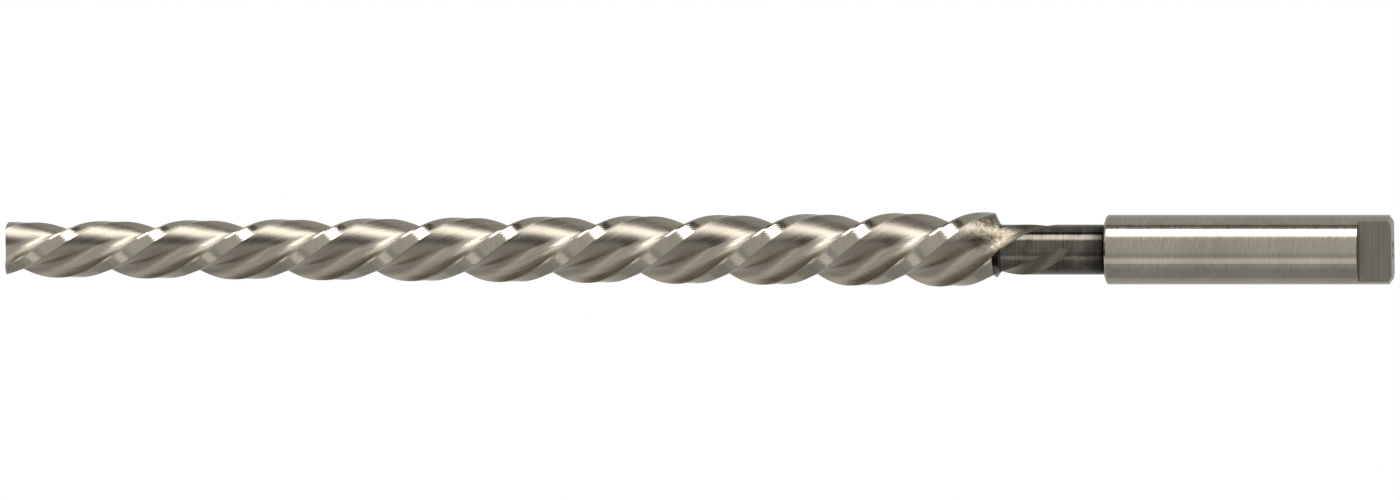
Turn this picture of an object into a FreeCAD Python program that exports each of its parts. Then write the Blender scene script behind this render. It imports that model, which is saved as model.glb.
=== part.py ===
import FreeCAD
import Part
import cmath
import math
import os

# Machine taper pin reamer, turned, fluted and ground from one bar of high-speed steel.
# It is drawn about the X axis with the small end at X = 0 and the driving tang at the far
# end, and moved at last to lie on the plane Z = 0 with its middle above the origin.
# Millimetres and degrees.  Turns about the axis are measured from the front (-Y)
# towards the top (+Z), and the flutes wind left-handed.

# Lengths along the axis
cutting_length = 178.2
neck_length = 19.7
shank_length = 52.1
tang_length = 6.0

# Diameters
small_end_diameter = 9.9
taper_ratio = 1.0 / 50.0
neck_diameter = 9.0
shank_diameter = 12.5
tang_thickness = 6.0

# Turned corners, each given along the axis and across it
lead_chamfer = 0.35
shoulder_length = 1.1
shoulder_fillet = 0.5
shank_face_length = 0.5
shank_front_chamfer = 0.3
shank_end_chamfer_length = 0.6
shank_end_chamfer_depth = 0.86

# Centre holes on which the reamer is turned and ground
centre_pilot_diameter = 1.6
centre_pilot_length = 1.2
centre_mouth_diameter = 3.2
centre_half_angle = 30.0

# Flutes
flute_count = 3
flute_lead = 47.72
first_edge_turn = -36.3
tang_turn = -7.4

# Cross-section of one tooth, as shares of the reamer's own radius at that place,
# because lands and flutes shrink together towards the small end
margin_turn = 5.0
land_turn = 31.5
heel_share = 0.977
relief_crown_share = 2.4
back_crown_share = 0.85
core_share = 0.5
fillet_share = 0.5
rake_angle = 3.0

# Run-out, where the grinding wheel lifts out of the neck
full_depth_run = 1.0
run_out_length = 13.5
run_out_clearance = 1.3

# How closely the helix is followed, and the spare material that a cut passes through
stations_per_turn = 12
spare = 1.5

tip_radius = small_end_diameter / 2.0
neck_radius = neck_diameter / 2.0
shank_radius = shank_diameter / 2.0
neck_end = cutting_length + neck_length
total_length = neck_end + shank_length
run_out_start = cutting_length + full_depth_run
run_out_end = cutting_length + run_out_length
head_end = run_out_end + run_out_clearance


def cone_radius(x):
    """Radius of the tapered cutting part at X = x."""
    return tip_radius + taper_ratio * x / 2.0


def section_scale(x):
    """Radius that the tooth section is drawn to: the cone, then growing in the run-out."""
    radius = cone_radius(x)
    if x <= run_out_start:
        return radius
    progress = (x - run_out_start) / (run_out_end - run_out_start)
    growth = neck_radius / (core_share * cone_radius(run_out_end)) - 1.0
    return radius * (1.0 + growth * progress ** 2)


def polar(radius, degrees):
    """Point of the section as a complex number."""
    return cmath.rect(radius, math.radians(degrees))


def chord_centre(start, end, radius):
    """Centre of the arc from start to end, turning anticlockwise about it."""
    chord = end - start
    height = math.sqrt(radius ** 2 - abs(chord) ** 2 / 4.0)
    return (start + end) / 2.0 + 1j * chord / abs(chord) * height


def two_circle_centre(point, point_distance, centre, centre_distance):
    """Point at the two given distances, on the inner side of the line joining them."""
    span = centre - point
    along = (point_distance ** 2 - centre_distance ** 2 + abs(span) ** 2) / (2.0 * abs(span))
    across = math.sqrt(point_distance ** 2 - along ** 2)
    unit = span / abs(span)
    return point + unit * along + 1j * unit * across


def arc_strip(start, end, centre):
    """Poles and weights of the arc from start to end about centre."""
    half_turn = abs(cmath.phase((end - centre) / (start - centre))) / 2.0
    middle = (start + end) / 2.0 - centre
    corner = centre + middle / math.cos(half_turn) ** 2
    return [start, corner, end], [1.0, math.cos(half_turn), 1.0]


def line_strip(start, end):
    """Poles and weights of a straight line."""
    return [start, end], [1.0, 1.0]


def tooth_section():
    """Strips of one tooth and the flute behind it, from cutting edge to cutting edge."""
    edge = polar(1.0, 0.0)
    margin_end = polar(1.0, margin_turn)
    heel = polar(heel_share, land_turn)
    next_edge = polar(1.0, 360.0 / flute_count)

    # The rake face is a line through the next cutting edge, hooked by the rake angle.
    # The fillet touches that line and the core.
    inward = -next_edge * polar(1.0, -rake_angle)
    flute_side = 1j * inward
    offset_edge = next_edge + flute_side * fillet_share
    reach = (offset_edge * inward.conjugate()).real
    centre_distance = core_share + fillet_share
    depth = -reach - math.sqrt(reach ** 2 - abs(offset_edge) ** 2 + centre_distance ** 2)
    fillet_centre = offset_edge + inward * depth
    rake_end = next_edge + inward * depth

    # The back is one crowned arc from the heel to the fillet.
    back_centre = two_circle_centre(heel, back_crown_share, fillet_centre, back_crown_share + fillet_share)
    towards_back = (back_centre - fillet_centre) / abs(back_centre - fillet_centre)
    back_end = fillet_centre + towards_back * fillet_share

    return [
        arc_strip(edge, margin_end, 0j),
        arc_strip(margin_end, heel, chord_centre(margin_end, heel, relief_crown_share)),
        arc_strip(heel, back_end, back_centre),
        arc_strip(back_end, rake_end, fillet_centre),
        line_strip(rake_end, next_edge),
    ]


def helix_pieces(start, end):
    """Splines that carry the first cutting edge from X = start to X = end, a turn each."""
    count = math.ceil(stations_per_turn * (end - start) / flute_lead)
    stations = [start + (end - start) * i / count for i in range(count + 1)]
    points = []
    for x in stations:
        turn = first_edge_turn + 360.0 * x / flute_lead
        place = -section_scale(x) * polar(1.0, -turn)
        points.append(FreeCAD.Vector(x, place.real, place.imag))
    curve = Part.BSplineCurve()
    curve.interpolate(Points=points, Parameters=stations)
    pieces = []
    for first in range(0, count, stations_per_turn):
        last = min(first + stations_per_turn, count)
        piece = curve.copy()
        piece.segment(stations[first], stations[last])
        pieces.append(piece)
    return pieces


def helical_strip(curve, poles, weights):
    """Surface swept by one strip of the section, which grows and turns with the curve."""
    rows = []
    for pole in poles:
        row = []
        for carrier in curve.getPoles():
            place = complex(carrier.y, carrier.z) * pole
            row.append(FreeCAD.Vector(carrier.x, place.real, place.imag))
        rows.append(row)
    degree = len(poles) - 1
    surface = Part.BSplineSurface()
    surface.buildFromPolesMultsKnots(
        rows,
        [degree + 1, degree + 1],
        curve.getMultiplicities(),
        [0.0, 1.0],
        curve.getKnots(),
        False,
        False,
        degree,
        curve.Degree,
        [[weight] * len(rows[0]) for weight in weights],
    )
    return surface


def fluted_prism(start, end):
    """Solid with the fluted section all along, closed by a flat face at each end."""
    pieces = helix_pieces(start, end)
    rings = []
    for curve in pieces:
        ring = []
        for tooth in range(flute_count):
            turn = polar(1.0, 360.0 * tooth / flute_count)
            for poles, weights in tooth_section():
                ring.append(helical_strip(curve, [pole * turn for pole in poles], weights))
        rings.append(ring)
    faces = [strip.toShape() for ring in rings for strip in ring]
    for ring, x in ((rings[0], start), (rings[-1], end)):
        edges = [strip.vIso(x).toShape() for strip in ring]
        faces.append(Part.Face(Part.Wire(Part.__sortEdges__(edges))))
    shell = Part.Shell(faces)
    shell.sewShape()
    solid = Part.Solid(shell)
    if solid.Volume < 0.0:
        solid.reverse()
    return solid


def turned_solid(profile):
    """Solid turned about the X axis from a profile of edges that starts and ends on it."""
    face = Part.Face(Part.Wire(profile))
    return face.revolve(FreeCAD.Vector(0, 0, 0), FreeCAD.Vector(1, 0, 0), 360.0)


def straight_edges(corners):
    """Edges through the given (x, radius) corners."""
    places = [FreeCAD.Vector(x, radius, 0) for x, radius in corners]
    return [Part.makeLine(a, b) for a, b in zip(places, places[1:])]


def centre_hole(x, inward):
    """Corners of a centre hole, from its bottom on the axis to its mouth at X = x."""
    pilot = centre_pilot_diameter / 2.0
    mouth = centre_mouth_diameter / 2.0
    cone_length = (mouth - pilot) / math.tan(math.radians(centre_half_angle))
    pilot_end = x + inward * (cone_length + centre_pilot_length)
    tip = pilot_end + inward * pilot / math.tan(math.radians(59.0))
    return [(tip, 0.0), (pilot_end, pilot), (x + inward * cone_length, pilot), (x, mouth)]


def head_blank():
    """Turned blank of the cutting part and the neck, with spare outside the lands."""
    outside = cone_radius(cutting_length) + spare
    slope = (cone_radius(cutting_length) - neck_radius) / shoulder_length
    lead_radius = tip_radius - lead_chamfer
    crest = cutting_length - spare / slope
    root = cutting_length + shoulder_length
    # Fillet tangent to the shoulder's cone and to the neck
    half_angle = math.atan(slope) / 2.0
    reach = shoulder_fillet * math.tan(half_angle)
    fillet_start = (root - reach * math.cos(2.0 * half_angle), neck_radius + reach * math.sin(2.0 * half_angle))
    fillet_end = (root + reach, neck_radius)
    corner = (root, neck_radius)
    along = (fillet_start[0] + fillet_end[0]) / 2.0 - corner[0]
    above = (fillet_start[1] + fillet_end[1]) / 2.0 - corner[1]
    size = math.hypot(along, above)
    bulge = shoulder_fillet / math.cos(half_angle) - shoulder_fillet
    middle = (corner[0] + along / size * bulge, corner[1] + above / size * bulge)
    before = centre_hole(0.0, 1.0) + [
        (0.0, lead_radius),
        (outside - lead_radius, outside),
        (crest, outside),
        fillet_start,
    ]
    after = [fillet_end, (head_end, neck_radius), (head_end, 0.0), before[0]]
    fillet = Part.Arc(
        FreeCAD.Vector(fillet_start[0], fillet_start[1], 0),
        FreeCAD.Vector(middle[0], middle[1], 0),
        FreeCAD.Vector(fillet_end[0], fillet_end[1], 0),
    ).toShape()
    return turned_solid(straight_edges(before) + [fillet] + straight_edges(after))


def tail_blank():
    """Turned rest of the neck and the shank, down to the centre hole in its end."""
    face_radius = shank_radius - shank_front_chamfer
    face_end = neck_end + shank_face_length
    corners = [
        (head_end, 0.0),
        (head_end, neck_radius),
        (neck_end, neck_radius),
        (face_end, face_radius),
        (face_end + shank_front_chamfer, shank_radius),
        (total_length - shank_end_chamfer_length, shank_radius),
        (total_length, shank_radius - shank_end_chamfer_depth),
    ]
    corners += list(reversed(centre_hole(total_length, -1.0)))
    corners.append(corners[0])
    return turned_solid(straight_edges(corners))


def tang_cut(side):
    """Block milled away beside one flat of the driving tang."""
    block = Part.makeBox(
        tang_length + spare,
        shank_diameter,
        2.0 * shank_diameter,
        FreeCAD.Vector(total_length - tang_length, tang_thickness / 2.0, -shank_diameter),
    )
    half_turn = 180.0 if side < 0 else 0.0
    block.rotate(FreeCAD.Vector(0, 0, 0), FreeCAD.Vector(1, 0, 0), half_turn - tang_turn)
    return block


def reamer():
    """The whole reamer as one solid."""
    head = head_blank().common(fluted_prism(-spare, head_end + spare))
    body = head.fuse(tail_blank()).removeSplitter()
    for side in (-1, 1):
        body = body.cut(tang_cut(side))
    body.translate(FreeCAD.Vector(-total_length / 2.0, 0, cone_radius(cutting_length)))
    return body


os.makedirs("parts", exist_ok=True)
shape = reamer()
shape.exportStep("parts/reamer.step")
print(shape.ShapeType, len(shape.Solids), shape.isValid(), round(shape.Volume, 2), "mm3")
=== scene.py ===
"""Looks of a machine taper pin reamer: one ground bar of high-speed steel in a plain studio.

The bar is drawn about its own axis in millimetres, from the small end at x = 0 to the driving
tang, as its maker would draw it.  Geometry Nodes turn the blank, sweep the tooth section along
the left-handed helix, cut one with the other and mill the tang.  Turns about the axis are
measured from the front (-Y) towards the top (+Z), in degrees.
"""

import cmath
import logging
import math
from dataclasses import dataclass, field
from enum import Enum
from typing import Any

import bpy
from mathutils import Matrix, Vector

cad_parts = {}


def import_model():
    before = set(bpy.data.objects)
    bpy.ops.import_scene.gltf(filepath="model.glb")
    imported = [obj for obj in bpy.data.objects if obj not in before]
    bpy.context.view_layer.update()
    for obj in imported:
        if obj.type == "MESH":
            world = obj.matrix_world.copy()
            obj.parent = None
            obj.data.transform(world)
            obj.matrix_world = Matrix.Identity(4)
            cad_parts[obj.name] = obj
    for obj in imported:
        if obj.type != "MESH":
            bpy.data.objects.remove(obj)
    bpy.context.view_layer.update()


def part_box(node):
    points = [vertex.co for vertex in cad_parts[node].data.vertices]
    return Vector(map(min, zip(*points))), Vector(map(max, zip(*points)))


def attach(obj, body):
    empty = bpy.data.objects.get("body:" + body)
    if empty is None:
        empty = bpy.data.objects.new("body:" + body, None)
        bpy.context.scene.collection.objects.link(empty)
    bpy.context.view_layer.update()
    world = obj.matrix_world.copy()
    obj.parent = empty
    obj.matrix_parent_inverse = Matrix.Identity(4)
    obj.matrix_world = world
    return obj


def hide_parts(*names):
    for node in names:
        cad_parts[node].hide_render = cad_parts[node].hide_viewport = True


MM = 0.001
WHITE = (1.0, 1.0, 1.0, 1.0)
BLACK = (0.0, 0.0, 0.0, 1.0)
LOG = logging.getLogger("reamer")

Tree = bpy.types.NodeTree
Node = bpy.types.Node
Socket = bpy.types.NodeSocket
Sockets = bpy.types.NodeOutputs
MATH = "ShaderNodeMath"
VECTOR_MATH = "ShaderNodeVectorMath"
SPLIT = "ShaderNodeSeparateXYZ"
COMBINE = "ShaderNodeCombineXYZ"
RANGE = "ShaderNodeMapRange"
MIX = "ShaderNodeMix"
BUMP = "ShaderNodeBump"
# Values between which the noise of a pattern mostly lies
GRAIN_RANGE = (0.3, 0.7)


class Zone(Enum):
    """Surfaces of the reamer that were finished by different work."""

    LAND = 0
    FLUTE = 1
    NECK = 2
    SHOULDER = 3
    SHANK = 4
    END = 5
    TANG = 6


def linear(colour: str) -> tuple[float, float, float, float]:
    """Turns an sRGB hex colour into linear values.

    Args:
        colour: six hex digits with a leading hash sign.

    Returns:
        Linear red, green, blue and an alpha of one.
    """
    parts = [int(colour[i:i + 2], 16) / 255.0 for i in (1, 3, 5)]
    made = [c / 12.92 if c <= 0.04045 else ((c + 0.055) / 1.055) ** 2.4 for c in parts]
    return made[0], made[1], made[2], 1.0


def wire(tree: Tree, node: Node, inputs: dict | tuple) -> None:
    """Sets or links the inputs of a node.

    Args:
        tree: node tree that holds the node.
        node: node that gets the values and links.
        inputs: values, nodes or sockets in the order of the node's inputs, or by their name or
            number. The sources in a list all go to one input.
    """
    for key, given in inputs.items() if isinstance(inputs, dict) else enumerate(inputs):
        socket = node.inputs[key]
        for value in given if isinstance(given, list) else [given]:
            if isinstance(value, Node):
                tree.links.new(value.outputs[0], socket)
            elif isinstance(value, Socket):
                tree.links.new(value, socket)
            else:
                socket.default_value = value


def add(tree: Tree, kind: str, inputs: dict | tuple = (), **settings: Any) -> Node:
    """Adds one node with its settings and links.

    Args:
        tree: node tree that gets the node.
        kind: Blender's name of the node type.
        inputs: what its inputs get, as wire takes it.
        settings: properties of the node, set before its inputs.

    Returns:
        The new node.
    """
    made = tree.nodes.new(kind)
    for name, value in settings.items():
        setattr(made, name, value)
    wire(tree, made, inputs)
    return made


def polar(radius: float, degrees: float) -> complex:
    """Point of the tooth section as a complex number."""
    return cmath.rect(radius, math.radians(degrees))


def arc_middle(start: complex, end: complex, centre: complex) -> complex:
    """Point halfway along the shorter arc from start to end about centre."""
    between = (start + end) / 2.0 - centre
    return centre + between / abs(between) * abs(start - centre)


@dataclass(frozen=True)
class ToothSection:
    """Cross-section of one tooth and the flute behind it, for a reamer of radius one."""

    margin_turn: float = 5.0
    land_turn: float = 31.5
    heel_share: float = 0.977
    relief_crown: float = 2.4
    back_crown: float = 0.85
    core: float = 0.5
    fillet: float = 0.5
    rake: float = 3.0
    count: int = 3

    def corners(self) -> dict[str, complex]:
        """Works out the joints of the strips and the middles of its arcs.

        Returns:
            Points by name, from one cutting edge to the next.
        """
        edge = polar(1.0, 0.0)
        margin_end = polar(1.0, self.margin_turn)
        heel = polar(self.heel_share, self.land_turn)
        next_edge = polar(1.0, 360.0 / self.count)

        # The relief is a large arc that bulges away from the axis.
        chord = heel - margin_end
        rise = math.sqrt(self.relief_crown ** 2 - abs(chord) ** 2 / 4.0)
        relief_centre = (margin_end + heel) / 2.0 + 1j * chord / abs(chord) * rise

        # The fillet touches the hooked rake line and the core.
        inward = -next_edge * polar(1.0, -self.rake)
        beside = next_edge + 1j * inward * self.fillet
        reach = (beside * inward.conjugate()).real
        depth = -reach - math.sqrt(reach ** 2 - abs(beside) ** 2 + (self.core + self.fillet) ** 2)
        fillet_centre = beside + inward * depth
        rake_end = next_edge + inward * depth

        # The back is one crowned arc from the heel that runs into the fillet.
        span = fillet_centre - heel
        far = self.back_crown + self.fillet
        along = (self.back_crown ** 2 - far ** 2 + abs(span) ** 2) / (2.0 * abs(span))
        across = math.sqrt(self.back_crown ** 2 - along ** 2)
        back_centre = heel + span / abs(span) * complex(along, across)
        back_end = fillet_centre + (back_centre - fillet_centre) / far * self.fillet
        return {
            "Cutting edge": edge,
            "Margin middle": arc_middle(edge, margin_end, 0j),
            "Margin end": margin_end,
            "Relief middle": arc_middle(margin_end, heel, relief_centre),
            "Heel": heel,
            "Back middle": arc_middle(heel, back_end, back_centre),
            "Back end": back_end,
            "Fillet middle": arc_middle(back_end, rake_end, fillet_centre),
            "Rake end": rake_end,
            "Next edge": next_edge,
        }


@dataclass(frozen=True)
class TurnedBlank:
    """Turned outline of the whole bar, with spare outside the lands."""

    cutting_length: float = 178.2
    neck_length: float = 19.7
    shank_length: float = 52.1
    small_end_radius: float = 4.95
    taper: float = 0.01
    neck_radius: float = 4.5
    shank_radius: float = 6.25
    lead_chamfer: float = 0.35
    shoulder_length: float = 1.1
    shoulder_fillet: float = 0.5
    shank_face_length: float = 0.5
    shank_front_chamfer: float = 0.3
    end_chamfer_length: float = 0.6
    end_chamfer_depth: float = 0.86
    hole_pilot_radius: float = 0.8
    hole_pilot_length: float = 1.2
    hole_mouth_radius: float = 1.6
    hole_half_angle: float = 30.0
    drill_half_angle: float = 59.0
    spare: float = 1.5
    fillet_steps: int = 6
    neck_steps: int = 40

    @property
    def neck_end(self) -> float:
        """Place where the neck meets the shank."""
        return self.cutting_length + self.neck_length

    @property
    def length(self) -> float:
        """Overall length."""
        return self.neck_end + self.shank_length

    def cone_radius(self, x: float) -> float:
        """Radius of the tapered cutting part at x."""
        return self.small_end_radius + self.taper * x

    def centre_hole(self, x: float, inward: float) -> list[tuple[float, float, Zone]]:
        """Outline of a centre hole.

        Args:
            x: place of its mouth.
            inward: 1 or -1, the way into the bar.

        Returns:
            Corners from its bottom on the axis to its mouth, with the surface after each.
        """
        slope = math.tan(math.radians(self.hole_half_angle))
        cone = (self.hole_mouth_radius - self.hole_pilot_radius) / slope
        bottom = x + inward * (cone + self.hole_pilot_length)
        drill_slope = math.tan(math.radians(self.drill_half_angle))
        tip = bottom + inward * self.hole_pilot_radius / drill_slope
        return [
            (tip, 0.0, Zone.END),
            (bottom, self.hole_pilot_radius, Zone.END),
            (x + inward * cone, self.hole_pilot_radius, Zone.END),
            (x, self.hole_mouth_radius, Zone.END),
        ]

    def outline(self) -> list[tuple[float, float, Zone]]:
        """Lists the corners of the turned outline.

        Returns:
            (x, radius, surface that starts there), from the hole in the small end to the
            hole in the shank's end.
        """
        crest_radius = self.cone_radius(self.cutting_length)
        outside = crest_radius + self.spare
        slope = (crest_radius - self.neck_radius) / self.shoulder_length
        lead_radius = self.small_end_radius - self.lead_chamfer
        points = self.centre_hole(0.0, 1.0)
        points += [
            (0.0, lead_radius, Zone.END),
            (outside - lead_radius, outside, Zone.SHOULDER),
            (self.cutting_length - self.spare / slope, outside, Zone.SHOULDER),
        ]
        # Fillet between the shoulder's cone and the neck
        steep = math.atan(slope)
        root = self.cutting_length + self.shoulder_length
        reach = self.shoulder_fillet * math.tan(steep / 2.0)
        for step in range(self.fillet_steps + 1):
            turn = steep * (1.0 - step / self.fillet_steps)
            x = root + reach - self.shoulder_fillet * math.sin(turn)
            radius = self.neck_radius + self.shoulder_fillet * (1.0 - math.cos(turn))
            points.append((x, radius, Zone.SHOULDER))
        neck_start = root + reach
        points[-1] = (neck_start, self.neck_radius, Zone.NECK)
        for step in range(1, self.neck_steps):
            x = neck_start + (self.neck_end - neck_start) * (step / self.neck_steps)
            points.append((x, self.neck_radius, Zone.NECK))
        face_end = self.neck_end + self.shank_face_length
        points += [
            (self.neck_end, self.neck_radius, Zone.SHOULDER),
            (face_end, self.shank_radius - self.shank_front_chamfer, Zone.SHANK),
            (face_end + self.shank_front_chamfer, self.shank_radius, Zone.SHANK),
            (self.length - self.end_chamfer_length, self.shank_radius, Zone.SHANK),
            (self.length, self.shank_radius - self.end_chamfer_depth, Zone.END),
        ]
        return points + self.centre_hole(self.length, -1.0)[::-1]


@dataclass(frozen=True)
class Tang:
    """Flat driving tang at the end of the shank."""

    length: float = 6.0
    thickness: float = 6.0
    turn: float = -7.4


@dataclass(frozen=True)
class Flutes:
    """Helix on which the tooth section is swept, and its run-out in the neck."""

    lead: float = 47.72
    first_edge_turn: float = -36.3
    full_depth_run: float = 1.0
    run_out_length: float = 13.5
    run_out_clearance: float = 1.3
    row_spacing: float = 0.45
    around: int = 120
    arc_points: tuple[int, ...] = (3, 8, 16, 14)
    rake_points: int = 5


@dataclass(frozen=True)
class ReamerTree:
    """Geometry Nodes tree that makes the bar from the points of its turned outline."""

    section: ToothSection
    blank: TurnedBlank
    flutes: Flutes
    tang: Tang
    origin: Vector
    materials: dict[Zone, bpy.types.Material]
    weld: float = 1e-6
    cut_weld: float = 2e-6
    crease_angle: float = 12.0
    edge_share: float = 0.49999

    def sizes(self) -> dict[str, Any]:
        """Values of the tree's named inputs, in metres and radians."""
        run_out_end = self.blank.cutting_length + self.flutes.run_out_length
        run_out_start = self.blank.cutting_length + self.flutes.full_depth_run
        core_radius = self.section.core * self.blank.cone_radius(run_out_end)
        made = {name: Vector((p.real, p.imag, 0.0)) for name, p in self.section.corners().items()}
        made.update({
            "Flute count": self.section.count,
            "Small end radius": self.blank.small_end_radius * MM,
            "Taper": self.blank.taper,
            "Length": self.blank.length * MM,
            "Spare": self.blank.spare * MM,
            "Lead": self.flutes.lead * MM,
            "First edge turn": math.radians(self.flutes.first_edge_turn),
            "Run-out start": run_out_start * MM,
            "Run-out length": (run_out_end - run_out_start) * MM,
            "Run-out growth": self.blank.neck_radius / core_radius - 1.0,
            "Flute end": (run_out_end + self.flutes.run_out_clearance) * MM,
            "Row spacing": self.flutes.row_spacing * MM,
            "Points around": self.flutes.around,
            "Tang length": self.tang.length * MM,
            "Tang thickness": self.tang.thickness * MM,
            "Tang turn": math.radians(-self.tang.turn),
            "Tang block": 4.0 * self.blank.shank_radius * MM,
            "Small end": self.origin,
        })
        made.update({f"{one.name.capitalize()} finish": self.materials[one] for one in Zone})
        return made

    def build(self) -> Tree:
        """Builds the whole tree.

        Returns:
            The tree, with one named input for each size and finish.
        """
        tree = bpy.data.node_groups.new("FlutedBar", "GeometryNodeTree")
        tree.interface.new_socket("Geometry", in_out="INPUT", socket_type="NodeSocketGeometry")
        kinds = {Vector: "NodeSocketVector", int: "NodeSocketInt", float: "NodeSocketFloat"}
        for name, value in self.sizes().items():
            kind = kinds.get(type(value), "NodeSocketMaterial")
            tree.interface.new_socket(name, in_out="INPUT", socket_type=kind)
        tree.interface.new_socket("Geometry", in_out="OUTPUT", socket_type="NodeSocketGeometry")
        given = add(tree, "NodeGroupInput").outputs
        solids = [self.turned_blank(tree, given), self.fluted_prism(tree, given)]
        fluted = add(
            tree, "GeometryNodeMeshBoolean", {1: solids}, operation="INTERSECT", solver="EXACT"
        )
        milled = add(
            tree, "GeometryNodeMeshBoolean", (fluted, self.tang_blocks(tree, given)),
            operation="DIFFERENCE", solver="EXACT",
        )
        welded = add(
            tree, "GeometryNodeMergeByDistance", {"Geometry": milled, "Distance": self.cut_weld}
        )
        angle = add(tree, "GeometryNodeInputMeshEdgeAngle").outputs["Unsigned Angle"]
        is_round = add(
            tree, "FunctionNodeCompare", (angle, math.radians(self.crease_angle)),
            data_type="FLOAT", operation="LESS_THAN",
        )
        smooth = add(
            tree, "GeometryNodeSetShadeSmooth", {"Geometry": welded, "Shade Smooth": is_round},
            domain="EDGE",
        )
        made = add(tree, "GeometryNodeRealizeInstances", {"Geometry": smooth})
        zone = add(tree, "GeometryNodeInputNamedAttribute", {"Name": "zone"}, data_type="INT")
        for one in Zone:
            chosen = add(
                tree, "FunctionNodeCompare", {2: zone, 3: one.value},
                data_type="INT", operation="EQUAL",
            )
            finish = given[f"{one.name.capitalize()} finish"]
            made = add(
                tree, "GeometryNodeSetMaterial",
                {"Geometry": made, "Selection": chosen, "Material": finish},
            )
        add(tree, "NodeGroupOutput", (made,))
        return tree

    def grid(self, tree: Tree, columns: Node, rows: Node) -> tuple[Node, Sockets]:
        """Draws a flat grid that is bent to its shape afterwards.

        Args:
            tree: tree being built.
            columns: number of points along it.
            rows: number of points across it.

        Returns:
            The grid, and sockets with each point's share of its length and width.
        """
        sizes = {"Size X": 1.0, "Size Y": 1.0, "Vertices X": columns, "Vertices Y": rows}
        place = add(tree, "GeometryNodeInputPosition")
        shares = add(tree, VECTOR_MATH, (place, (0.5, 0.5, 0.0)), operation="ADD")
        return add(tree, "GeometryNodeMeshGrid", sizes), add(tree, SPLIT, (shares,)).outputs

    def bent(self, tree: Tree, given: Sockets, grid: Node, zone: Node, spot: Node) -> Node:
        """Marks a grid with its zones, bends it to its shape and closes its seams.

        Args:
            tree: tree being built.
            given: sockets of its named inputs.
            grid: flat grid.
            zone: zone of each face.
            spot: place of each point, from the small end.

        Returns:
            The closed mesh.
        """
        marked = add(
            tree, "GeometryNodeStoreNamedAttribute",
            {"Geometry": grid, "Name": "zone", "Value": zone}, data_type="INT", domain="FACE",
        )
        spot = add(tree, VECTOR_MATH, (spot, given["Small end"]), operation="ADD")
        moved = add(tree, "GeometryNodeSetPosition", {"Geometry": marked, "Position": spot})
        return add(
            tree, "GeometryNodeMergeByDistance", {"Geometry": moved, "Distance": self.weld}
        )

    def section_curves(self, tree: Tree, given: Sockets) -> tuple[Node, Node, Node]:
        """Draws the strips of one tooth.

        Args:
            tree: tree being built.
            given: sockets of its named inputs.

        Returns:
            The joined curves, their number of points and the number on the land.
        """
        names = ("Margin", "Relief", "Back", "Fillet")
        joints = ("Cutting edge", "Margin end", "Heel", "Back end", "Rake end")
        strips = []
        for name, first, last, points in zip(
            names, joints[:-1], joints[1:], self.flutes.arc_points, strict=True
        ):
            corners = {"Start": given[first], "Middle": given[f"{name} middle"], "End": given[last]}
            strips.append(
                add(tree, "GeometryNodeCurveArc", {"Resolution": points} | corners, mode="POINTS")
            )
        rake = add(
            tree, "GeometryNodeCurvePrimitiveLine",
            {"Start": given["Rake end"], "End": given["Next edge"]}, mode="POINTS",
        )
        strips.append(add(
            tree, "GeometryNodeResampleCurve", {"Curve": rake, "Count": self.flutes.rake_points}
        ))
        # The strip linked last comes first in the joined curves.
        tooth = add(tree, "GeometryNodeJoinGeometry", (strips[::-1],))
        land = add(tree, "GeometryNodeJoinGeometry", (strips[1::-1],))
        tooth_points, land_points = (
            add(tree, "GeometryNodeAttributeDomainSize", (curves,), component="CURVE")
            for curves in (tooth, land)
        )
        return tooth, tooth_points, land_points

    def fluted_prism(self, tree: Tree, given: Sockets) -> Node:
        """Sweeps the tooth section along the helix as a closed solid.

        Args:
            tree: tree being built.
            given: sockets of its named inputs.

        Returns:
            The swept mesh, with the zone of each face stored on it.
        """
        curves, tooth_points, land_points = self.section_curves(tree, given)
        columns = add(tree, MATH, (tooth_points, given["Flute count"]), operation="MULTIPLY")
        # Two rows close each end, with the outer one drawn in to the axis.
        reach = add(tree, MATH, (given["Flute end"], given["Spare"]), operation="ADD")
        rows = add(tree, MATH, (reach, given["Row spacing"]), operation="DIVIDE")
        rows = add(tree, MATH, (rows, 4.0), operation="ADD")
        rows = add(tree, MATH, (rows,), operation="CEIL")
        grid, share = self.grid(tree, columns, rows)
        last_column = add(tree, MATH, (columns, 1.0), operation="SUBTRACT")
        column = add(tree, MATH, (share[0], last_column), operation="MULTIPLY")
        last_row = add(tree, MATH, (rows, 1.0), operation="SUBTRACT")
        row = add(tree, MATH, (share[1], last_row), operation="MULTIPLY")

        # Faces of the land come first in each tooth.
        in_tooth = add(tree, MATH, (column, tooth_points), operation="FLOORED_MODULO")
        zone = add(tree, MATH, (in_tooth, land_points), operation="GREATER_THAN")

        # Point of the section, and the number of its tooth
        whole = add(tree, "FunctionNodeFloatToInt", (column,), rounding_mode="ROUND")
        index = add(tree, MATH, (whole, tooth_points), operation="FLOORED_MODULO")
        number = add(tree, MATH, (whole, tooth_points), operation="DIVIDE")
        number = add(tree, MATH, (number,), operation="FLOOR")
        point = add(
            tree, "GeometryNodeSampleIndex",
            {"Geometry": curves, "Value": add(tree, "GeometryNodeInputPosition"), "Index": index},
            data_type="FLOAT_VECTOR", domain="POINT",
        )

        # Place along the bar; the last two rows stand past the shank's end.
        inner = add(tree, MATH, (row, 1.0), operation="SUBTRACT")
        inner = add(tree, MATH, (inner, 0.0), operation="MAXIMUM")
        start = add(tree, MATH, (given["Spare"], -1.0), operation="MULTIPLY")
        run = add(tree, MATH, (inner, given["Row spacing"], start), operation="MULTIPLY_ADD")
        past = add(tree, MATH, (given["Length"], given["Spare"]), operation="ADD")
        closing = add(tree, MATH, (rows, 2.5), operation="SUBTRACT")
        is_closing = add(
            tree, "FunctionNodeCompare", (row, closing), data_type="FLOAT", operation="GREATER_THAN"
        )
        x = add(tree, "GeometryNodeSwitch", (is_closing, run, past), input_type="FLOAT")

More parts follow.
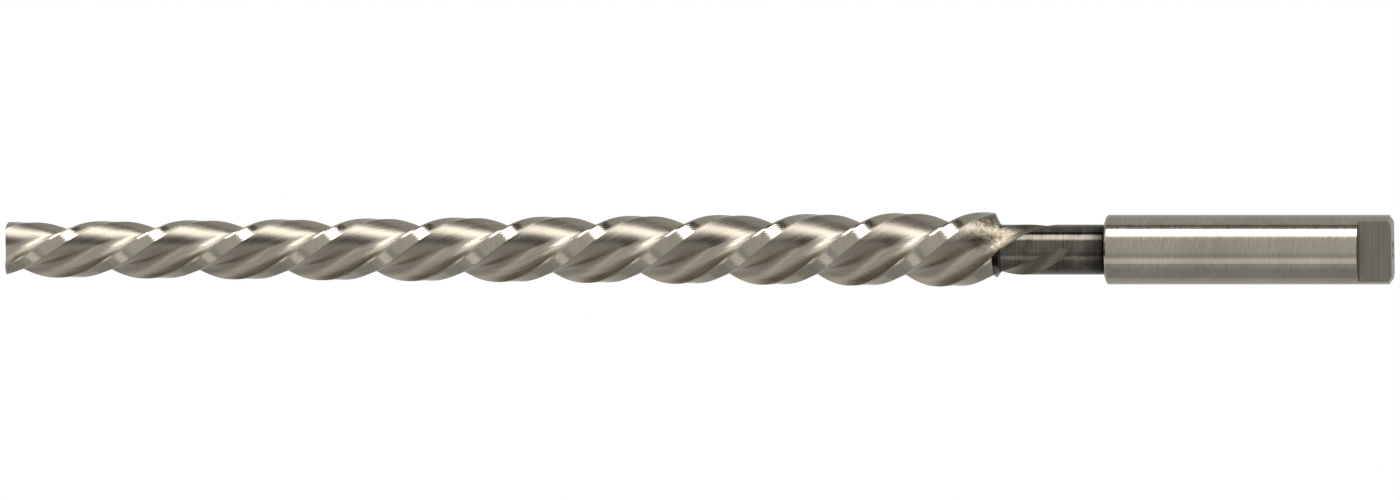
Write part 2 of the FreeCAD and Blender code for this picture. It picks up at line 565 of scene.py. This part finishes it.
        # Radius of the section: the cone, growing in the run-out, and nothing in the outer rows
        cone = add(
            tree, MATH, (x, given["Taper"], given["Small end radius"]), operation="MULTIPLY_ADD"
        )
        beyond = add(tree, MATH, (x, given["Run-out start"]), operation="SUBTRACT")
        beyond = add(tree, MATH, (beyond, 0.0), operation="MAXIMUM")
        progress = add(tree, MATH, (beyond, given["Run-out length"]), operation="DIVIDE")
        square = add(tree, MATH, (progress, 2.0), operation="POWER")
        swell = add(tree, MATH, (square, given["Run-out growth"], 1.0), operation="MULTIPLY_ADD")
        from_middle = add(tree, MATH, (share[1], 0.5), operation="SUBTRACT")
        from_middle = add(tree, MATH, (from_middle,), operation="ABSOLUTE")
        is_open = add(tree, MATH, (from_middle, self.edge_share), operation="LESS_THAN")
        radius = add(tree, MATH, (cone, swell), operation="MULTIPLY")
        radius = add(tree, MATH, (radius, is_open), operation="MULTIPLY")

        # Turn of the section: the helix, held past the run-out
        held = add(tree, MATH, (x, given["Flute end"]), operation="MINIMUM")
        turns = add(tree, MATH, (held, given["Lead"]), operation="DIVIDE")
        first_turn = given["First edge turn"]
        turn = add(tree, MATH, (turns, math.tau, first_turn), operation="MULTIPLY_ADD")
        pitch = add(tree, MATH, (math.tau, given["Flute count"]), operation="DIVIDE")
        back = add(tree, MATH, (number, pitch), operation="MULTIPLY")
        angle = add(tree, MATH, (back, turn), operation="SUBTRACT")
        turned = add(
            tree, "ShaderNodeVectorRotate", {"Vector": point, "Angle": angle},
            rotation_type="Z_AXIS",
        )
        flipped = add(tree, MATH, (radius, -1.0), operation="MULTIPLY")
        grown = add(tree, VECTOR_MATH, {0: turned, "Scale": flipped}, operation="SCALE")
        flat = add(tree, SPLIT, (grown,)).outputs
        return self.bent(tree, given, grid, zone, add(tree, COMBINE, (x, flat[0], flat[1])))

    def turned_blank(self, tree: Tree, given: Sockets) -> Node:
        """Turns the outline about the axis.

        Args:
            tree: tree being built.
            given: sockets of its named inputs.

        Returns:
            The turned mesh, with the zone of each face stored on it.
        """
        outline = given["Geometry"]
        points = add(tree, "GeometryNodeAttributeDomainSize", (outline,), component="MESH")
        rows = add(tree, MATH, (given["Points around"], 1.0), operation="ADD")
        grid, share = self.grid(tree, points, rows)
        last = add(tree, MATH, (points, 1.0), operation="SUBTRACT")
        column = add(tree, MATH, (share[0], last), operation="MULTIPLY")
        before = add(tree, "FunctionNodeFloatToInt", (column,), rounding_mode="FLOOR")
        nearest = add(tree, "FunctionNodeFloatToInt", (column,), rounding_mode="ROUND")
        marks = add(tree, "GeometryNodeInputNamedAttribute", {"Name": "zone"}, data_type="INT")
        zone = add(
            tree, "GeometryNodeSampleIndex",
            {"Geometry": outline, "Value": marks, "Index": before},
            data_type="INT", domain="POINT",
        )
        place = add(tree, "GeometryNodeInputPosition")
        corner = add(
            tree, "GeometryNodeSampleIndex",
            {"Geometry": outline, "Value": place, "Index": nearest},
            data_type="FLOAT_VECTOR", domain="POINT",
        )
        angle = add(tree, MATH, (share[1], math.tau), operation="MULTIPLY")
        spot = add(
            tree, "ShaderNodeVectorRotate", {"Vector": corner, "Angle": angle},
            rotation_type="X_AXIS",
        )
        return self.bent(tree, given, grid, zone, spot)

    def tang_blocks(self, tree: Tree, given: Sockets) -> Node:
        """Blocks milled away beside the two flats of the tang.

        Args:
            tree: tree being built.
            given: sockets of its named inputs.

        Returns:
            Both blocks, marked with their zone.
        """
        block = given["Tang block"]
        reach = add(tree, MATH, (given["Tang length"], given["Spare"]), operation="ADD")
        size = add(tree, COMBINE, (reach, block, block))
        cube = add(tree, "GeometryNodeMeshCube", {"Size": size})
        half_reach = add(tree, MATH, (reach, 0.5), operation="MULTIPLY")
        along = add(tree, MATH, (given["Length"], given["Tang length"]), operation="SUBTRACT")
        along = add(tree, MATH, (along, half_reach), operation="ADD")
        across = add(tree, MATH, (block, given["Tang thickness"]), operation="ADD")
        blocks = []
        for side in (0.5, -0.5):
            offset = add(tree, MATH, (across, side), operation="MULTIPLY")
            spot = add(tree, COMBINE, (along, offset, 0.0))
            blocks.append(
                add(tree, "GeometryNodeTransform", {"Geometry": cube, "Translation": spot})
            )
        both = add(tree, "GeometryNodeJoinGeometry", (blocks,))
        turn = add(tree, COMBINE, (given["Tang turn"], 0.0, 0.0))
        turned = add(
            tree, "GeometryNodeTransform",
            {"Geometry": both, "Translation": given["Small end"], "Rotation": turn},
        )
        return add(
            tree, "GeometryNodeStoreNamedAttribute",
            {"Geometry": turned, "Name": "zone", "Value": Zone.TANG.value},
            data_type="INT", domain="FACE",
        )


@dataclass(frozen=True)
class BarPlaces:
    """Coordinates in millimetres from the small end, by which the finishes draw their patterns."""

    small_end: Vector
    lead: float

    def along(self, tree: Tree) -> Node:
        """Adds the place on the bar.

        Args:
            tree: shader tree being built.

        Returns:
            The place in millimetres, with X along the axis.
        """
        where = add(tree, "ShaderNodeTexCoord").outputs["Object"]
        from_end = add(tree, VECTOR_MATH, (where, self.small_end), operation="SUBTRACT")
        return add(tree, VECTOR_MATH, {0: from_end, "Scale": 1.0 / MM}, operation="SCALE")

    def across_helix(self, tree: Tree, place: Node) -> Node:
        """Adds the direction that lies in the surface and square to the helix.

        Args:
            tree: shader tree being built.
            place: place in millimetres.

        Returns:
            The direction.
        """
        twist = (math.tau / self.lead, 0.0, 0.0)
        around = add(tree, VECTOR_MATH, (place, twist), operation="CROSS_PRODUCT")
        along = add(tree, VECTOR_MATH, (around, (1.0, 0.0, 0.0)), operation="ADD")
        normal = add(tree, "ShaderNodeNewGeometry").outputs["Normal"]
        across = add(tree, VECTOR_MATH, (normal, along), operation="CROSS_PRODUCT")
        return add(tree, VECTOR_MATH, (across,), operation="NORMALIZE")

    def untwisted(self, tree: Tree, place: Node) -> Node:
        """Turns places back along the helix, so that each point of the section stays put.

        Args:
            tree: shader tree being built.
            place: place in millimetres.

        Returns:
            The turned place.
        """
        x = add(tree, SPLIT, (place,))
        angle = add(tree, MATH, (x, math.tau / self.lead), operation="MULTIPLY")
        return add(
            tree, "ShaderNodeVectorRotate", {"Vector": place, "Angle": angle},
            rotation_type="X_AXIS",
        )


def grain(
    tree: Tree, place: Node, size: tuple[float, ...], detail: float = 2.0, offset: float = 0.0
) -> Node:
    """Adds noise whose grains have a given size.

    Args:
        tree: shader tree being built.
        place: place in millimetres.
        size: length of a grain along each axis, in millimetres.
        detail: octaves of finer noise.
        offset: shift that makes two grains of one size differ.

    Returns:
        The noise.
    """
    scale = tuple(1.0 / one for one in size)
    scaled = add(tree, VECTOR_MATH, (place, scale, (offset,) * 3), operation="MULTIPLY_ADD")
    return add(
        tree, "ShaderNodeTexNoise",
        {"Vector": scaled, "Scale": 1.0, "Detail": detail, "Roughness": 0.6},
    )


def steel(name: str) -> tuple[bpy.types.Material, Tree, Node]:
    """Makes a new bare metal.

    Args:
        name: name of the finish.

    Returns:
        The material, its tree and its shader.
    """
    material = bpy.data.materials.new(name)
    material.use_nodes = True
    shader = material.node_tree.nodes["Principled BSDF"]
    shader.inputs["Metallic"].default_value = 1.0
    return material, material.node_tree, shader


@dataclass(frozen=True)
class WheelGround:
    """Bright steel ground by a wheel that runs along the flute.

    The wheel leaves fine lines along the helix.  They draw the highlights out into streaks and
    fray their borders, which is what makes the flutes look silky beside the mirror-like lands.
    """

    places: BarPlaces
    name: str = "ground_flute"
    bright: str = "#b4ab9c"
    dull: str = "#a0978a"
    film: str = "#6f695c"
    line_width: float = 0.35
    line_length: float = 16.0
    line_height: float = 0.002
    band_width: float = 1.6
    band_length: float = 48.0
    contrast: tuple[float, float] = (0.38, 0.62)
    roughness: tuple[float, float] = (0.24, 0.3)
    brushed: float = 0.8
    film_start: float = 179.0
    film_end: float = 184.0
    burr_spot: tuple[float, float, float] = (178.0, -4.6, 3.6)
    burr_core: float = 2.7
    burr_reach: float = 6.0
    burr_grain: float = 0.9
    burr_height: float = 0.09
    stain: str = "#857661"
    stain_contrast: tuple[float, float] = (0.42, 0.6)

    def build(self) -> bpy.types.Material:
        """Builds the material.

        Returns:
            The material.
        """
        material, tree, shader = steel(self.name)
        place = self.places.along(tree)
        straight = self.places.untwisted(tree, place)
        # Real lines are about 0.05 mm wide; these are as coarse as still shows.
        lines = grain(tree, straight, (self.line_length, self.line_width, self.line_width))
        band = (self.band_length, self.band_width, self.band_width)
        both = add(tree, MATH, (lines, grain(tree, straight, band, offset=7.0)), operation="ADD")
        both = add(tree, MATH, (both, 0.5), operation="MULTIPLY")
        share = add(tree, RANGE, (both, *self.contrast, 0.0, 1.0))
        shades = {0: share, 6: linear(self.dull), 7: linear(self.bright)}
        colour = add(tree, MIX, shades, data_type="RGBA").outputs[2]

        # The run-out lies in the neck and keeps its dark film.
        x = add(tree, SPLIT, (place,))
        filmed = add(tree, RANGE, (x, self.film_start, self.film_end, 0.0, 1.0))
        shades = {0: filmed, 6: colour, 7: linear(self.film)}
        colour = add(tree, MIX, shades, data_type="RGBA").outputs[2]

        # Where the wheel left the last tooth, burrs and a brown stain were not cleaned off.
        away = add(tree, VECTOR_MATH, (place, self.burr_spot), operation="DISTANCE")
        away = away.outputs["Value"]
        near = add(tree, RANGE, (away, self.burr_core, self.burr_reach, 1.0, 0.0))
        flecks = grain(tree, place, (self.burr_grain,) * 3, detail=4.0)
        fleck = add(tree, RANGE, (flecks, *self.stain_contrast, 0.0, 1.0))
        stained = add(tree, MATH, (near, fleck), operation="MULTIPLY")
        shades = {0: stained, 6: colour, 7: linear(self.stain)}
        colour = add(tree, MIX, shades, data_type="RGBA").outputs[2]

        uneven = {"Height": both, "Strength": 1.0, "Distance": self.line_height * MM}
        fine = add(tree, BUMP, uneven)
        burrs = add(tree, MATH, (flecks, near), operation="MULTIPLY")
        uneven = {"Height": burrs, "Strength": 1.0, "Distance": self.burr_height * MM}
        wire(tree, shader, {
            "Base Color": colour,
            "Roughness": add(tree, RANGE, (both, *self.contrast, *self.roughness)),
            "Anisotropic": self.brushed,
            "Tangent": self.places.across_helix(tree, place),
            "Normal": add(tree, BUMP, uneven | {"Normal": fine}),
        })
        return material


@dataclass(frozen=True)
class RoundGround:
    """Bright steel ground on its round surface while the bar turned.

    Fine marks run around the bar.  They soften reflections along it a little and give the plain
    grey areas a faint mottle; everything else stays nearly mirror-like.
    """

    places: BarPlaces
    name: str
    bright: str = "#b0a99b"
    dull: str = "#9e9788"
    mark_width: float = 0.3
    mark_length: float = 1.6
    mark_height: float = 0.0012
    patch: float = 9.0
    contrast: tuple[float, float] = (0.75, 1.25)
    roughness: tuple[float, float] = (0.1, 0.17)

    def build(self) -> bpy.types.Material:
        """Builds the material.

        Returns:
            The material.
        """
        material, tree, shader = steel(self.name)
        place = self.places.along(tree)
        # Real marks are finer; these are as coarse as still shows.
        mark = (self.mark_width, self.mark_length, self.mark_length)
        marks = grain(tree, place, mark, detail=3.0)
        patches = grain(tree, place, (self.patch,) * 3, offset=3.0)
        both = add(tree, MATH, (marks, patches), operation="ADD")
        share = add(tree, RANGE, (both, *self.contrast, 0.0, 1.0))
        shades = {0: share, 6: linear(self.dull), 7: linear(self.bright)}
        uneven = {"Height": marks, "Strength": 1.0, "Distance": self.mark_height * MM}
        wire(tree, shader, {
            "Base Color": add(tree, MIX, shades, data_type="RGBA").outputs[2],
            "Roughness": add(tree, RANGE, (marks, *GRAIN_RANGE, *self.roughness)),
            "Normal": add(tree, BUMP, uneven),
        })
        return material


@dataclass(frozen=True)
class DarkTurned:
    """Turned steel that was not ground after hardening and kept its thin dark oxide.

    Tool rings go around it, so its one bright highlight breaks up into short upright dashes;
    the oxide makes the rest look almost black beside the ground parts.
    """

    places: BarPlaces
    name: str
    bright: str = "#6f6a61"
    dull: str = "#4c4842"
    # Colour of the painted shade in the corner before the shank
    corner_shade: str = "#1c1a17"
    ring_width: float = 0.32
    ring_length: float = 60.0
    ring_height: float = 0.0015
    blotch: float = 2.5
    contrast: tuple[float, float] = (0.8, 1.2)
    roughness: tuple[float, float] = (0.06, 0.14)
    # Where the painted shade before the shank begins and where it is full, in millimetres
    corner_shade_start: float = 194.5
    corner_shade_end: float = 198.2

    def build(self) -> bpy.types.Material:
        """Builds the material.

        Returns:
            The material.
        """
        material, tree, shader = steel(self.name)
        place = self.places.along(tree)
        ring = (self.ring_width, self.ring_length, self.ring_length)
        rings = grain(tree, place, ring, detail=3.0)
        blotches = grain(tree, place, (self.blotch,) * 3, detail=3.0, offset=5.0)
        both = add(tree, MATH, (rings, blotches), operation="ADD")
        share = add(tree, RANGE, (both, *self.contrast, 0.0, 1.0))
        shades = {0: share, 6: linear(self.dull), 7: linear(self.bright)}
        colour = add(tree, MIX, shades, data_type="RGBA").outputs[2]
        # Painted shade: the neck darkens to near black over its last few millimetres before the
        # shank's face.
        x = add(tree, SPLIT, (place,))
        corner = add(tree, RANGE, (x, self.corner_shade_start, self.corner_shade_end, 0.0, 1.0))
        shades = {0: corner, 6: colour, 7: linear(self.corner_shade)}
        uneven = {"Height": rings, "Strength": 1.0, "Distance": self.ring_height * MM}
        wire(tree, shader, {
            "Base Color": add(tree, MIX, shades, data_type="RGBA").outputs[2],
            "Roughness": add(tree, RANGE, (share, 0.0, 1.0, *self.roughness)),
            "Normal": add(tree, BUMP, uneven),
        })
        return material


@dataclass(frozen=True)
class Milled:
    """Steel milled across the bar, as on the flats of the tang.

    The cutter's straight strokes show as upright streaks of slightly different grey with a
    satin sheen.
    """

    places: BarPlaces
    name: str = "milled_tang"
    bright: str = "#958f82"
    dull: str = "#777064"
    stroke_width: float = 0.55
    stroke_length: float = 90.0
    stroke_height: float = 0.006
    contrast: tuple[float, float] = (0.35, 0.65)
    roughness: tuple[float, float] = (0.3, 0.42)

    def build(self) -> bpy.types.Material:
        """Builds the material.

        Returns:
            The material.
        """
        material, tree, shader = steel(self.name)
        place = self.places.along(tree)
        stroke = (self.stroke_width, self.stroke_length, self.stroke_length)
        strokes = grain(tree, place, stroke, detail=4.0)
        share = add(tree, RANGE, (strokes, *self.contrast, 0.0, 1.0))
        shades = {0: share, 6: linear(self.dull), 7: linear(self.bright)}
        uneven = {"Height": strokes, "Strength": 1.0, "Distance": self.stroke_height * MM}
        wire(tree, shader, {
            "Base Color": add(tree, MIX, shades, data_type="RGBA").outputs[2],
            "Roughness": add(tree, RANGE, (strokes, *GRAIN_RANGE, *self.roughness)),
            "Normal": add(tree, BUMP, uneven),
        })
        return material


@dataclass
class Reamer:
    """The reamer: one bar of high-speed steel with its finishes."""

    section: ToothSection = field(default_factory=ToothSection)
    blank: TurnedBlank = field(default_factory=TurnedBlank)
    flutes: Flutes = field(default_factory=Flutes)
    tang: Tang = field(default_factory=Tang)
    node: str = "reamer"

    def finishes(self) -> dict[Zone, bpy.types.Material]:
        """Builds the finish of each zone."""
        places = BarPlaces(self.small_end(), self.flutes.lead)
        finishes = {
            Zone.LAND: RoundGround(places, "ground_land"),
            Zone.FLUTE: WheelGround(places),
            Zone.NECK: DarkTurned(places, "dark_neck"),
            # The shoulder and the shank's face carry the neck's real oxide, but in darker colours;
            # the extra darkness is painted shade for their steep faces.
            Zone.SHOULDER: DarkTurned(places, "dark_shoulder", "#4a4740", "#33312c"),
            Zone.SHANK: RoundGround(places, "ground_shank", roughness=(0.13, 0.19)),
            Zone.END: RoundGround(
                places, "faced_end", "#a39c8f", "#8d8679", roughness=(0.25, 0.35)
            ),
            Zone.TANG: Milled(places),
        }
        return {zone: finish.build() for zone, finish in finishes.items()}

    def small_end(self) -> Vector:
        """Place of the small end's centre: the bar lies on its largest lands."""
        lowest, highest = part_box(self.node)
        middle = (lowest + highest) / 2.0
        height = self.blank.cone_radius(self.blank.cutting_length) * MM
        return Vector((middle.x - self.blank.length / 2.0 * MM, 0.0, height))

    def outline_object(self) -> bpy.types.Object:
        """Draws the turned outline as a line of points that carry their zone."""
        points = self.blank.outline()
        mesh = bpy.data.meshes.new("turned_outline")
        mesh.from_pydata(
            [(x * MM, -radius * MM, 0.0) for x, radius, _ in points],
            [(i, i + 1) for i in range(len(points) - 1)], [],
        )
        zones = mesh.attributes.new("zone", "INT", "POINT")
        zones.data.foreach_set("value", [zone.value for _, _, zone in points])
        drawn = bpy.data.objects.new("turned_outline", mesh)
        bpy.context.scene.collection.objects.link(drawn)
        return drawn

    def build(self) -> bpy.types.Object:
        """Makes the bar with Geometry Nodes and keeps the result as a plain mesh.

        Returns:
            The dressed bar.
        """
        drawn = self.outline_object()
        plan = ReamerTree(
            self.section, self.blank, self.flutes, self.tang, self.small_end(), self.finishes()
        )
        tree = plan.build()
        modifier = drawn.modifiers.new("FlutedBar", "NODES")
        modifier.node_group = tree
        given = [item for item in tree.interface.items_tree if item.in_out == "INPUT"]
        sockets = {item.name: item.identifier for item in given}
        for name, value in plan.sizes().items():
            modifier[sockets[name]] = value
        bpy.context.view_layer.update()
        evaluated = drawn.evaluated_get(bpy.context.evaluated_depsgraph_get())
        mesh = bpy.data.meshes.new_from_object(evaluated)
        mesh.name = "reamer_bar"
        drawn.modifiers.remove(modifier)
        bpy.data.objects.remove(drawn)
        bar = bpy.data.objects.new("reamer_bar", mesh)
        bpy.context.scene.collection.objects.link(bar)
        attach(bar, "root")
        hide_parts(self.node)
        return bar


@dataclass(frozen=True)
class Panel:
    """Part of the surroundings, as the bar's surface sees it from the middle of the studio.

    Lateral angles run from -90 at the small end's side to 90 at the shank's side.  Elevations
    turn about the bar's axis: 0 is the camera, 90 is straight up and -90 straight down.
    """

    name: str
    left: float
    right: float
    low: float
    high: float
    strength: float
    distance: float = 2.0
    facet: float = 6.0

    def width(self) -> tuple[float, float]:
        """Places of its left and right edges along the bar."""
        left, right = (math.tan(math.radians(side)) for side in (self.left, self.right))
        return self.distance * left, self.distance * right

    def spot(self, x: float, turn: float, height: float) -> tuple[float, float, float]:
        """Point at x and at an elevation, for an axis at the given height."""
        angle = math.radians(turn)
        return x, -self.distance * math.cos(angle), height + self.distance * math.sin(angle)

    def lamp(self, height: float) -> bpy.types.Object:
        """Builds the panel as a soft box.

        Args:
            height: height of the bar's axis.

        Returns:
            The lamp.
        """
        near, far = self.width()
        middle = (self.low + self.high) / 2.0
        depth = 2.0 * self.distance * math.tan(math.radians((self.high - self.low) / 2.0))
        data = bpy.data.lights.new(self.name, "AREA")
        data.shape = "RECTANGLE"
        data.size = far - near
        data.size_y = depth
        data.color = WHITE[:3]
        data.energy = self.strength * math.pi * (far - near) * depth
        made = bpy.data.objects.new(self.name, data)
        made.location = self.spot((near + far) / 2.0, middle, height)
        made.rotation_euler = (math.radians(90.0 - middle), 0.0, 0.0)
        made.visible_camera = False
        bpy.context.scene.collection.objects.link(made)
        return made

    def card(self, height: float) -> bpy.types.Object:
        """Builds the panel as a curved card that only shows in reflections.

        Args:
            height: height of the bar's axis.

        Returns:
            The card.
        """
        near, far = self.width()
        count = max(1, round((self.high - self.low) / self.facet))
        turns = [self.low + (self.high - self.low) * i / count for i in range(count + 1)]
        corners = [self.spot(x, turn, height) for turn in turns for x in (near, far)]
        mesh = bpy.data.meshes.new(self.name)
        facets = [(2 * i, 2 * i + 1, 2 * i + 3, 2 * i + 2) for i in range(count)]
        mesh.from_pydata(corners, [], facets)
        material = bpy.data.materials.new(self.name)
        material.use_nodes = True
        shader = material.node_tree.nodes["Principled BSDF"]
        wire(material.node_tree, shader, {
            "Base Color": BLACK, "Specular IOR Level": 0.0,
            "Emission Color": WHITE, "Emission Strength": self.strength,
        })
        mesh.materials.append(material)
        made = bpy.data.objects.new(self.name, mesh)
        made.visible_camera = False
        made.visible_diffuse = False
        made.visible_shadow = False
        bpy.context.scene.collection.objects.link(made)
        return made


SOFT_BOXES = (
    Panel("top_soft_box", -18.0, 18.0, 46.0, 71.0, 4.2, distance=1.6),
    Panel("side_soft_box", 19.0, 34.0, 6.0, 44.0, 2.6, distance=1.6),
    Panel("far_soft_box", 34.0, 50.0, -0.2, 34.0, 2.0, distance=1.6),
)
CARDS = (
    Panel("room_front", -62.0, 62.0, -14.0, 46.0, 0.74),
    Panel("room_top", -62.0, 62.0, 46.0, 92.0, 0.6),
    Panel("room_back", -62.0, 62.0, 92.0, 180.0, 0.58),
    Panel("low_edge", -62.0, 62.0, -28.0, -14.0, 0.55),
    Panel("low_light", -62.0, 62.0, -48.0, -28.0, 1.1),
    Panel("low_front", -62.0, 62.0, -66.0, -48.0, 0.55),
    Panel("low_middle", -62.0, 62.0, -110.0, -66.0, 0.45),
    Panel("low_back", -62.0, 62.0, -180.0, -110.0, 0.62),
    Panel("dark_card", -9.0, 22.0, 74.0, 91.0, 0.12, distance=1.9),
    Panel("side_dark_card", 22.0, 50.0, 46.0, 92.0, 0.3, distance=1.9),
    Panel("low_dark_card", 14.0, 40.0, -50.0, -8.0, 0.06, distance=1.9),
    Panel("back_light", -38.0, -9.0, 60.0, 118.0, 1.8, distance=1.85),
)


@dataclass(frozen=True)
class Studio:
    """Pale floor, white surroundings, soft boxes, cards and the camera."""

    width: float = 0.2514
    distance: float = 1.0
    turn: float = 5.5
    axis_height: float = 0.006732
    camera_drop: float = 0.00007
    floor_half: float = 3.0
    floor_colour: str = "#e6e6e4"
    floor_roughness: float = 0.7
    room_light: float = 0.75

    def world(self) -> None:
        """White surroundings that metal sees at full strength."""
        world = bpy.data.worlds.new("white_room")
        bpy.context.scene.world = world
        world.use_nodes = True
        tree = world.node_tree
        path = add(tree, "ShaderNodeLightPath").outputs
        seen = (path["Is Camera Ray"], path["Is Glossy Ray"])
        seen = (add(tree, MATH, seen, operation="MAXIMUM"), path["Is Transmission Ray"])
        seen = add(tree, MATH, seen, operation="MAXIMUM")
        strength = add(tree, RANGE, (seen, 0.0, 1.0, self.room_light, 1.0))
        wire(tree, tree.nodes["Background"], {"Color": WHITE, "Strength": strength})

    def floor(self) -> None:
        """Plain pale floor that the bar lies on."""
        mesh = bpy.data.meshes.new("floor")
        half = self.floor_half
        corners = [(-half, -half, 0.0), (half, -half, 0.0), (half, half, 0.0), (-half, half, 0.0)]
        mesh.from_pydata(corners, [], [(0, 1, 2, 3)])
        material = bpy.data.materials.new("pale_floor")
        material.use_nodes = True
        shader = material.node_tree.nodes["Principled BSDF"]
        shader.inputs["Base Color"].default_value = linear(self.floor_colour)
        shader.inputs["Roughness"].default_value = self.floor_roughness
        mesh.materials.append(material)
        floor = bpy.data.objects.new("floor", mesh)
        # Metal sees the cards under the floor instead of its own dark contact shadow.
        floor.visible_glossy = False
        bpy.context.scene.collection.objects.link(floor)

    def camera(self) -> None:
        """Camera level with the bar, turned a little towards the shank's end."""
        data = bpy.data.cameras.new("camera")
        data.type = "ORTHO"
        data.ortho_scale = self.width
        turn = math.radians(self.turn)
        camera = bpy.data.objects.new("camera", data)
        camera.location = (
            self.distance * math.sin(turn), -self.distance * math.cos(turn),
            self.axis_height - self.camera_drop,
        )
        camera.rotation_euler = (math.pi / 2.0, 0.0, turn)
        bpy.context.scene.collection.objects.link(camera)
        bpy.context.scene.camera = camera

    def build(self) -> None:
        """Sets up the whole studio."""
        self.world()
        self.floor()
        for panel in SOFT_BOXES:
            panel.lamp(self.axis_height)
        for panel in CARDS:
            panel.card(self.axis_height)
        self.camera()
        bpy.context.scene.view_settings.view_transform = "Standard"


def main() -> None:
    """Builds the reamer and its studio, and logs the number of the bar's faces."""
    logging.basicConfig(level=logging.INFO)
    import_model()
    bar = Reamer().build()
    LOG.info("%s: %d faces", bar.name, len(bar.data.polygons))
    Studio().build()


if __name__ == "__main__":
    main()
